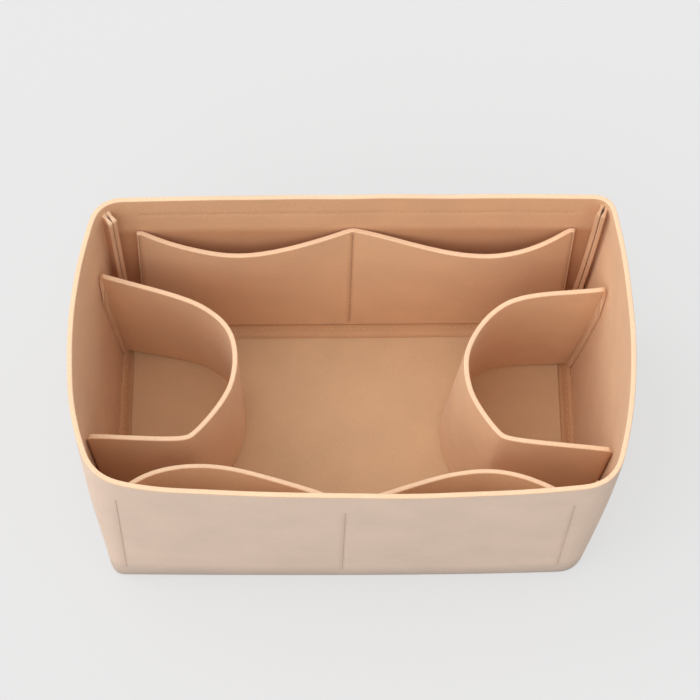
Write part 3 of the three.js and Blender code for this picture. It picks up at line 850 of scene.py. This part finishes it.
# %% Floor panel
FOLD = 4 * MM  # radius of the fold's middle surface
FOLD_STEPS = 7
EDGE_PRESS = 0.92  # how much thinner the cut edge is
EDGE_STEPS = 3
FLOOR_SHADE = 0.4  # painted shade on the part of the floor that the board leaves free
END_SHADE = 0.7  # the same, stronger, where the fold begins at the box's two ends
END_SHADE_DEPTH = 0.8  # how far down the fold that reaches, as a share of its radius
FLOOR_MARGIN = 30 * MM  # width of the tape on the flat floor
RING_SIDE_STEPS = 40
RING_CORNER_STEPS = 8
SAME_POINT = 0.03 * MM  # points nearer to each other than this are joined


def box_ring(z, inset):
    """A closed line round the box at height z, inset from the walls' outer face."""
    plan = plan_at(z, inset)
    ring = []
    for side in SIDES:
        near, far = side_range(side, plan)
        corner = corner_after(side, plan)
        places = [mix(near, far, i / RING_SIDE_STEPS) for i in range(RING_SIDE_STEPS)]
        ring += [side_point(side, s, plan) for s in places]
        ring += [bent(*corner, i / RING_CORNER_STEPS) for i in range(RING_CORNER_STEPS)]
    return [p.to_3d() + Vector((0, 0, z)) for p in ring + ring[:1]]


def floor_piece():
    middle = LINING + FELT / 2
    fold_z = FELT / 2 + FOLD
    profile = []
    for i in range(EDGE_STEPS):
        thinned = EDGE_PRESS * (1 - i / EDGE_STEPS)
        profile.append((mix(FELT + TURN_UP, fold_z, i / EDGE_STEPS), middle - FELT / 2 * thinned))
    for i in range(FOLD_STEPS + 1):
        angle = math.pi / 2 * i / FOLD_STEPS
        profile.append((fold_z - FOLD * math.sin(angle), middle + FOLD * (1 - math.cos(angle))))
    profile.append((FELT / 2, middle + FOLD + FLOOR_MARGIN))
    profile.reverse()
    rings = [box_ring(z, inset + tuck(z)) for z, inset in profile]
    pressed = []
    for z, inset in profile:
        seam = press_at(z - BASE_SEAM_Z) if inset <= middle else 0
        pressed.append(max(seam, (middle - inset) / (FELT / 2)))

    def bend(column, row):
        # painted shade on the floor that the board leaves free, stronger in the fold at the box's two ends
        at_end = SIDES[column // (RING_SIDE_STEPS + RING_CORNER_STEPS) % len(SIDES)] in HOLDERS
        in_fold = 0 <= fold_z - profile[row][0] < END_SHADE_DEPTH * FOLD
        painted_shade = END_SHADE if at_end and in_fold else FLOOR_SHADE
        return rings[row][column], pressed[row], painted_shade

    sheet = cut_sheet(len(rings[0]) - 1, len(profile) - 1, bend)
    bmesh.ops.remove_doubles(sheet, verts=sheet.verts, dist=SAME_POINT)
    gap = [e for e in sheet.edges if e.is_boundary and e.verts[0].co.z + e.verts[1].co.z < 2 * FELT]
    bmesh.ops.edgeloop_fill(sheet, edges=gap)
    bmesh.ops.recalc_face_normals(sheet, faces=sheet.faces)
    edge_length = TURN_UP - FOLD + FOLD * math.pi / 2
    flat = [2 * (x - middle - FOLD + edge_length) for x in (BASE_LENGTH / 2, BASE_DEPTH / 2)]
    finishes = (inside_felt, inside_felt)
    felt_piece("felt_floor", sheet, finishes, "bottom_panel", flat)


floor_piece()

# %% [markdown]
# ## The loose board
# A stiffened felt board lies on the floor and can be lifted out. It is a rectangle with rounded corners and
# eased edges. A cube could be bevelled twice, but its corners are easier to round while they are flat: one
# face is cut, its corners are bevelled, it is extruded, and then its edges are bevelled.

# %% Base board
BOARD_CORNER = 8 * MM
BOARD_CORNER_SEGMENTS = 10
BOARD_EDGE = 0.8 * MM
BOARD_EDGE_SEGMENTS = 4
ROUND = 0.5  # the profile of a bevel that is part of a circle
BOARD_DRAW = 3 * MM  # how much further from the back wall it lies than its solid


def board_piece():
    low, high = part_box("base_board")
    high.y -= BOARD_DRAW
    board = bmesh.new()
    bmesh.ops.create_grid(board, x_segments=1, y_segments=1, size=0.5)
    bmesh.ops.scale(board, verts=board.verts, vec=(high.x - low.x, high.y - low.y, 1))
    bmesh.ops.translate(board, verts=board.verts, vec=(*((low + high) / 2).xy, low.z))
    bmesh.ops.bevel(
        board,
        geom=board.verts,
        offset=BOARD_CORNER,
        offset_type="OFFSET",
        affect="VERTICES",
        segments=BOARD_CORNER_SEGMENTS,
        profile=ROUND,
        material=-1,
    )
    raised_part = bmesh.ops.extrude_face_region(board, geom=board.faces)["geom"]
    lifted = [item for item in raised_part if isinstance(item, bmesh.types.BMVert)]
    bmesh.ops.translate(board, verts=lifted, vec=(0, 0, high.z - low.z))
    bmesh.ops.recalc_face_normals(board, faces=board.faces)
    rims = [e for e in board.edges if abs(e.verts[0].co.z - e.verts[1].co.z) < LAY_GAP]
    bmesh.ops.bevel(
        board,
        geom=rims,
        offset=BOARD_EDGE,
        affect="EDGES",
        segments=BOARD_EDGE_SEGMENTS,
        profile=ROUND,
        material=-1,
    )
    piece = new_object("felt_base_board", board, board_felt)
    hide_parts("base_board")
    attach(piece, "board")
    print("base board:", [round(x, 4) for x in high - low])


board_piece()

# %% [markdown]
# ## Pockets
# Each pair of pockets is one panel, sewn to its wall at both ends and in the middle. It is cut wider than
# the wall, so both halves stand off it and gape, and its top edge dips between the seams.
# Cloth under pressure would bulge like this, but the photographed mouths are easier to hold with a formula:
# the gape grows from the floor to the mouth, and from the seams to the fullest place of each half.

# %% Pockets
SCALLOP = 10 * MM  # how far the top edge dips
GAPE_RISE = 1.4
CENTRE_FLAT = 2 * MM  # width of the flat strip at the middle seam
POCKET_ROWS = 38
ROOT = 0.02  # share of a pocket over which the panel bends off its wall
POCKET_WANDER = 1.2 * MM


def mouth(u, skew, power):
    """The share of the full gape at the share u of a pocket, from its side seam to the middle seam."""
    open_share = max(math.sin(math.pi * (u + skew * u * (1 - u))), 0) ** power
    return open_share * u / (u + ROOT) * (1 - u) / (1 - u + ROOT) * (1 + 2 * ROOT)


def pocket_piece(side):
    pocket = POCKETS[side]
    left, right = pocket_ends(side)
    places = stations(left, right, wall_seams(side)[0])[:: TRAVEL[side]]

    def bend(column, row):
        s = places[column]
        share = row / POCKET_ROWS
        half = 1 if s > pocket.centre else 0
        seam = right - POCKET_SEAM_EDGE if half else left + POCKET_SEAM_EDGE
        middle = pocket.centre + (CENTRE_FLAT / 2 if half else -CENTRE_FLAT / 2)
        u = clamp((s - seam) / (middle - seam))
        top = pocket.top - SCALLOP * math.sin(math.pi * u)
        z = mix(POCKET_BOTTOM, top, share)
        free = mouth(u, pocket.skews[half], pocket.powers[half]) * share**GAPE_RISE
        wander = POCKET_WANDER * free * noise.noise(Vector((s, z, 0)) / SWAY_LENGTH)
        stand_off = pocket.gapes[half] * free + wander
        point = behind_face(side, s, z, LINING + FELT / 2 + stand_off)[0]
        pressed = seam_press(side, s, z)
        return point, pressed, pressed

    sheet = cut_sheet(len(places) - 1, POCKET_ROWS, bend)
    across = [bend(i, POCKET_ROWS // 2)[0] for i in range(len(places))]
    flat = (length_of(across), pocket.top - POCKET_BOTTOM)
    node = side + "_pocket_panel"
    felt_piece("felt_" + node, sheet, (inside_felt, cut_edge), node, flat)


for side in POCKETS:
    pocket_piece(side)

# %% [markdown]
# ## Bottle holders
# A holder is a strip that stands out from the end wall in a loop and is sewn to it by its two turned-in
# ends. The loop is a smooth line through a few points: two folds, two shoulders and its nose. A Bezier
# curve object would do, but the strip leans and spreads towards its foot, so the line is drawn anew for
# every row of the sheet.

# %% Bottle holders
HOLDER_ROWS = 32
LOOP_STEPS = 96
FLANGE_STEPS = 8
FLANGE_PRESS = 0.85  # how much thinner the cut end of a strip is
FLANGE_SHADE = 0.2  # painted shade on the turned-in ends
FOLD_IN = 1.6 * MM  # how far each side of a fold it bends
FOLD_IN_STEPS = 4
FOLD_SHADE = 0.35  # painted shade on the strip where it leaves a turned-in end
FOLD_SHADE_STEPS = 8  # columns over which that fades
BEZIER_STEPS = 24
HANDLE = 1 / 3  # length of a Bezier handle, as a share of its stretch


def smooth_line(knots):
    """A smooth line through all knots, in Bezier stretches whose handles follow the knots' spacing."""
    ends = [2 * knots[0] - knots[1], *knots, 2 * knots[-1] - knots[-2]]
    line = []
    for a, b, c, d in zip(ends, ends[1:], ends[2:], ends[3:]):
        before, span, after = [math.sqrt((q - p).length) for p, q in ((a, b), (b, c), (c, d))]
        leaving = (b - a) / before - (c - a) / (before + span) + (c - b) / span
        arriving = (c - b) / span - (d - b) / (span + after) + (d - c) / after
        handles = b + leaving * span * HANDLE, c - arriving * span * HANDLE
        line += geometry.interpolate_bezier(b, *handles, c, BEZIER_STEPS)[:-1]
    return [*line, knots[-1]]


def spaced(line, first, last, count):
    """Evenly spaced points on a line, from one distance along it to another."""
    points = []
    walked = 0.0
    wanted = [mix(first, last, i / count) for i in range(count + 1)]
    for a, b in zip(line, line[1:]):
        step = (b - a).length
        while wanted and wanted[0] <= walked + step:
            points.append(a.lerp(b, (wanted.pop(0) - walked) / step))
        walked += step
    return points + [line[-1]] * len(wanted)


def flange_press(share):
    """How much thinner a turned-in end is at a share of its width, from the fold to the cut."""
    return FLANGE_PRESS * share**2


def holder_line(side, holder, z):
    """The strip's middle line at height z, from one cut end to the other."""
    back, front = holder_ends(holder)
    foot = (HOLDER_TOP - z) / (HOLDER_TOP - HOLDER_BOTTOM)
    wall_x = plan_at(0, FELT).half
    shift = plan_at(z).shift
    across = -1 if side == "left" else 1
    depth = LINING + FELT / 2

    def standing(out, y):
        return Vector((across * (wall_x - out - holder.foot_reach * foot) + shift, y, z))

    back_y = back - holder.back_slant + holder.foot_spread * foot
    front_y = front + holder.front_slant
    back_fold = behind_face(side, back, z, depth)[0]
    front_fold = behind_face(side, front, z, depth)[0]
    nose = standing(holder.reach, mix(back_y, front_y, holder.nose_front))
    turn = standing(holder.front_shoulder, front_y)
    loop = smooth_line(
        [
            back_fold,
            standing(holder.back_shoulder, back_y),
            standing(holder.reach, mix(back_y, front_y, holder.nose_back)),
            nose,
            turn + (nose - turn).normalized() * holder.front_turn,
            turn + (front_fold - turn).normalized() * holder.front_turn,
            front_fold,
        ]
    )
    walk = spaced(loop, FOLD_IN, length_of(loop) - FOLD_IN, LOOP_STEPS)

    def turned_in(fold, way, onward):
        """The end that lies on the wall and the fold after it, without the strip's own first point."""
        line = []
        for i in range(FLANGE_STEPS + 1):
            inside = mix(HOLDER_FLANGE, FOLD_IN, i / FLANGE_STEPS)
            share = inside / HOLDER_FLANGE
            trimmed = FLANGE_TRIM * share * (1 - foot)
            lying = depth - FELT / 2 * flange_press(share)
            line.append(behind_face(side, fold.y + way * inside, z - trimmed, lying)[0])
        start = line.pop()
        return line + [bent(start, fold, onward, i / FOLD_IN_STEPS) for i in range(FOLD_IN_STEPS)]

    line = turned_in(back_fold, -1, walk[0]) + walk + turned_in(front_fold, 1, walk[-1])[::-1]
    return line if side == "left" else line[::-1]


def holder_piece(side):
    holder = HOLDERS[side]
    heights = [mix(HOLDER_BOTTOM, HOLDER_TOP, i / HOLDER_ROWS) for i in range(HOLDER_ROWS + 1)]
    lines = [holder_line(side, holder, z) for z in heights]
    columns = len(lines[0]) - 1

    def bend(column, row):
        point = lines[row][column]
        from_end = min(column, columns - column)
        if from_end > FLANGE_STEPS:
            # painted shade where the strip leaves a turned-in end, and on the turned-in ends themselves
            return point, 0, FOLD_SHADE * clamp(1 - (from_end - FLANGE_STEPS) / FOLD_SHADE_STEPS)
        share = mix(1, FOLD_IN / HOLDER_FLANGE, from_end / FLANGE_STEPS)
        pressed = max(seam_press(side, point.y, point.z), flange_press(share))
        return point, pressed, FLANGE_SHADE

    sheet = cut_sheet(columns, HOLDER_ROWS, bend)
    flat = (length_of(lines[0]), HOLDER_TOP - HOLDER_BOTTOM)
    node = side + "_bottle_holder"
    felt_piece("felt_" + node, sheet, (inside_felt, cut_edge), node, flat)


for side in HOLDERS:
    holder_piece(side)

# %% [markdown]
# ## Thread
# Sewing thread is two plies twisted together. On the pockets and in the corners it is darker than the felt,
# elsewhere it is nearly of the felt's own colour. A plain colour would do from afar. From near the twist
# shows, so the finish slants a wave across a map that runs round and along each stitch.

# %% Thread finish
INSIDE_THREAD = (0.56, 0.34, 0.21)
OUTSIDE_THREAD = (0.86, 0.645, 0.505)
PLY_TURNS = 5
PLY_SLANT = math.radians(35)
PLY_WANDER = 0.6
PLY_HEIGHT = 0.1 * MM
PLY_RELIEF = 0.6
PLY_SHADE = (0.8, 1.12)
FIBRES = {"Scale": 1300, "Detail": 4, "Roughness": 0.6, "Distortion": 0}
FIBRE_SHADE = (0.92, 1.08)
THREAD_ROUGHNESS = (0.65, 0.85)
YARN = {"Specular IOR Level": 0.3, "Sheen Weight": 0.15}


def thread_finish(name, colour):
    """Twisted thread of one colour."""
    finish, tree, yarn = new_finish(name, YARN)
    yarn_map = tree.nodes.new("ShaderNodeUVMap")
    yarn_map.uv_map = "thread"
    slanted = new_node(tree, "ShaderNodeMapping", {"Rotation": (0, 0, PLY_SLANT)})
    twist = new_node(tree, "ShaderNodeTexWave", {"Scale": PLY_TURNS, "Distortion": PLY_WANDER})
    tree.links.new(yarn_map.outputs["UV"], slanted.inputs["Vector"])
    tree.links.new(slanted.outputs["Vector"], twist.inputs["Vector"])
    fibres = texture_noise(tree, FIBRES)
    look = tinted(tree, colour, shade(tree, twist.outputs["Fac"], *PLY_SHADE))
    look = tinted(tree, look, shade(tree, fibres, *FIBRE_SHADE))
    tree.links.new(look, yarn.inputs["Base Color"])
    tree.links.new(shade(tree, fibres, *THREAD_ROUGHNESS), yarn.inputs["Roughness"])
    tree.links.new(raised(tree, twist.outputs["Fac"], PLY_HEIGHT, PLY_RELIEF), yarn.inputs["Normal"])
    return finish


inside_thread = thread_finish("thread_inside", INSIDE_THREAD)
felt_thread = thread_finish("thread_felt", INSIDE_COLOUR)
outside_thread = thread_finish("thread_outside", OUTSIDE_THREAD)
print("thread finishes:", inside_thread.name, felt_thread.name, outside_thread.name)

# %% [markdown]
# ## Stitches
# A run of stitches could be an array along a curve. Here each stitch, a small ball stretched along the
# seam, is placed by itself in the groove that it pulls, because its direction and the felt's own slant
# change along the run.

# %% Stitch runs
STITCH = 3.1 * MM
STITCH_GAP = 1 * MM
THREAD_WIDTH = 0.8 * MM
THREAD_HEIGHT = 0.62 * MM
THREAD_RISE = THREAD_HEIGHT / 3  # of a stitch's middle above the bottom of its groove
STITCH_ROUND_STEPS = 8
STITCH_LONG_STEPS = 6
RUN_STEPS = 24


def stitch_run(node, line, outs, thread, press=1):
    """Stitches in the groove along a line on the felt's face; outs are the directions off the felt."""
    sink = press * SEAM_PRESS * FELT / 2 - THREAD_RISE
    run = bmesh.new()
    run.loops.layers.uv.new("thread")
    length = length_of(line)
    count = round(length / (STITCH + STITCH_GAP))
    middles = spaced(line, length / count / 2, length - length / count / 2, count - 1)
    for middle in middles:
        nearest = min(range(len(line)), key=lambda i: (line[i] - middle).length)
        along = (line[min(nearest + 1, len(line) - 1)] - line[max(nearest - 1, 0)]).normalized()
        out = (outs[nearest] - along * outs[nearest].dot(along)).normalized()
        turned = Matrix((out.cross(along), out, along)).transposed().to_4x4()
        size = Matrix.Diagonal((THREAD_WIDTH / 2, THREAD_HEIGHT / 2, STITCH / 2, 1))
        place = Matrix.Translation(middle - out * sink) @ turned @ size
        bmesh.ops.create_uvsphere(
            run,
            u_segments=STITCH_ROUND_STEPS,
            v_segments=STITCH_LONG_STEPS,
            radius=1,
            matrix=place,
            calc_uvs=True,
        )
    piece = new_object("stitches_" + node, run, thread)
    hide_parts(node)
    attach(piece, "box")
    return count


def wall_run(node, side, places, depth, thread, press=1):
    """A run on a wall or on what is sewn to it: places are (s, z), depth is that of the face, 0 outside."""
    found = [behind_face(side, s, z, depth) for s, z in places]
    outs = [inward if depth else -inward for point, inward in found]
    return stitch_run(node, [point for point, inward in found], outs, thread, press)


def upright(s, low, high):
    """Places up a wall, from a seam's lower to its upper end."""
    return [(s, mix(low, high, i / RUN_STEPS)) for i in range(RUN_STEPS + 1)]


stitches = 0
for side in ("front", "back"):
    places, low, high = wall_seams(side)
    for where, s in zip(("left", "centre", "right"), places):
        seam = upright(s, low, high)
        stitches += wall_run(f"{side}_pocket_seam_{where}", side, seam, LINING_FACE, inside_thread)
        stitches += wall_run(f"{side}_wall_stitch_{where}", side, seam, 0, outside_thread, WALL_PRESS)
flange_face = LINING_FACE - FELT / 2 * flange_press(FLANGE_SEAM)
for side in HOLDERS:
    places, low, high = wall_seams(side)
    for where, s in zip(("back", "front"), places):
        seam = upright(s, low, high)
        stitches += wall_run(f"{side}_holder_seam_{where}", side, seam, flange_face, felt_thread)
        stitches += wall_run(f"{side}_end_stitch_{where}", side, seam, 0, outside_thread, WALL_PRESS)
print("stitches on pockets and holders:", stitches)

# %% [markdown]
# ## The other lines of stitching
# One line runs under the back rim and shows on both faces of the wall. In each corner a line holds the two
# layers of the allowance together and shows on the end wall's layer. The last one goes all round the
# turned-up edge of the floor. Curve objects could carry them, but the formulas of the walls already give
# every point.

# %% Stitches under the back rim, in the corners and round the floor
RIM_RUN_STEPS = 80
rim_left, rim_right = [end + way * POCKET_SEAM_EDGE for end, way in zip(pocket_ends("back"), (1, -1))]
rim_places = []
for i in range(RIM_RUN_STEPS + 1):
    rim_places.append((mix(rim_right, rim_left, i / RIM_RUN_STEPS), HEIGHT - RIM_STITCH_DROP))
stitches = wall_run("back_rim_stitch_inner", "back", rim_places, FELT, felt_thread, RIM_PRESS)
stitches += wall_run("back_rim_stitch_outer", "back", rim_places, 0, outside_thread, RIM_PRESS)

CORNER_NAMES = {"front": "front_right", "right": "back_right", "back": "back_left", "left": "front_left"}
for side, name in CORNER_NAMES.items():
    way = -1 if side in HOLDERS else 1
    line = []
    outs = []
    for i in range(RUN_STEPS + 1):
        z = mix(FIN_BOTTOM + FIN_CUT + STITCH_END, fin_top(side) - FIN_CUT - STITCH_END, i / RUN_STEPS)
        corner, seam, along, inward = seam_frame(side, plan_at(z))
        point = seam + inward * (FELT / 2 + FIN_STITCH) + along * way * (FIN_AWAY + FELT / 2)
        line.append(point.to_3d() + Vector((0, 0, z)))
        outs.append((along * way).to_3d())
    stitches += stitch_run("corner_seam_" + name, line, outs, inside_thread)

ring = box_ring(BASE_SEAM_Z, LINING_FACE + tuck(BASE_SEAM_Z))
outs = []
for i, point in enumerate(ring):
    before = ring[i - 1] if i else ring[-2]
    after = ring[i + 1] if i + 1 < len(ring) else ring[1]
    outs.append((after - before).xy.orthogonal().to_3d())
stitches += stitch_run("base_seam", ring, outs, felt_thread)
print("stitches under the rim, in the corners and round the floor:", stitches)

# %% [markdown]
# ## The size of the frame
# The felt may stand proud of its solids a little. The size of the measured frame is printed again.

# %% Size and finish
print("frame:", [round(x, 4) for x in frame_high - frame_low])
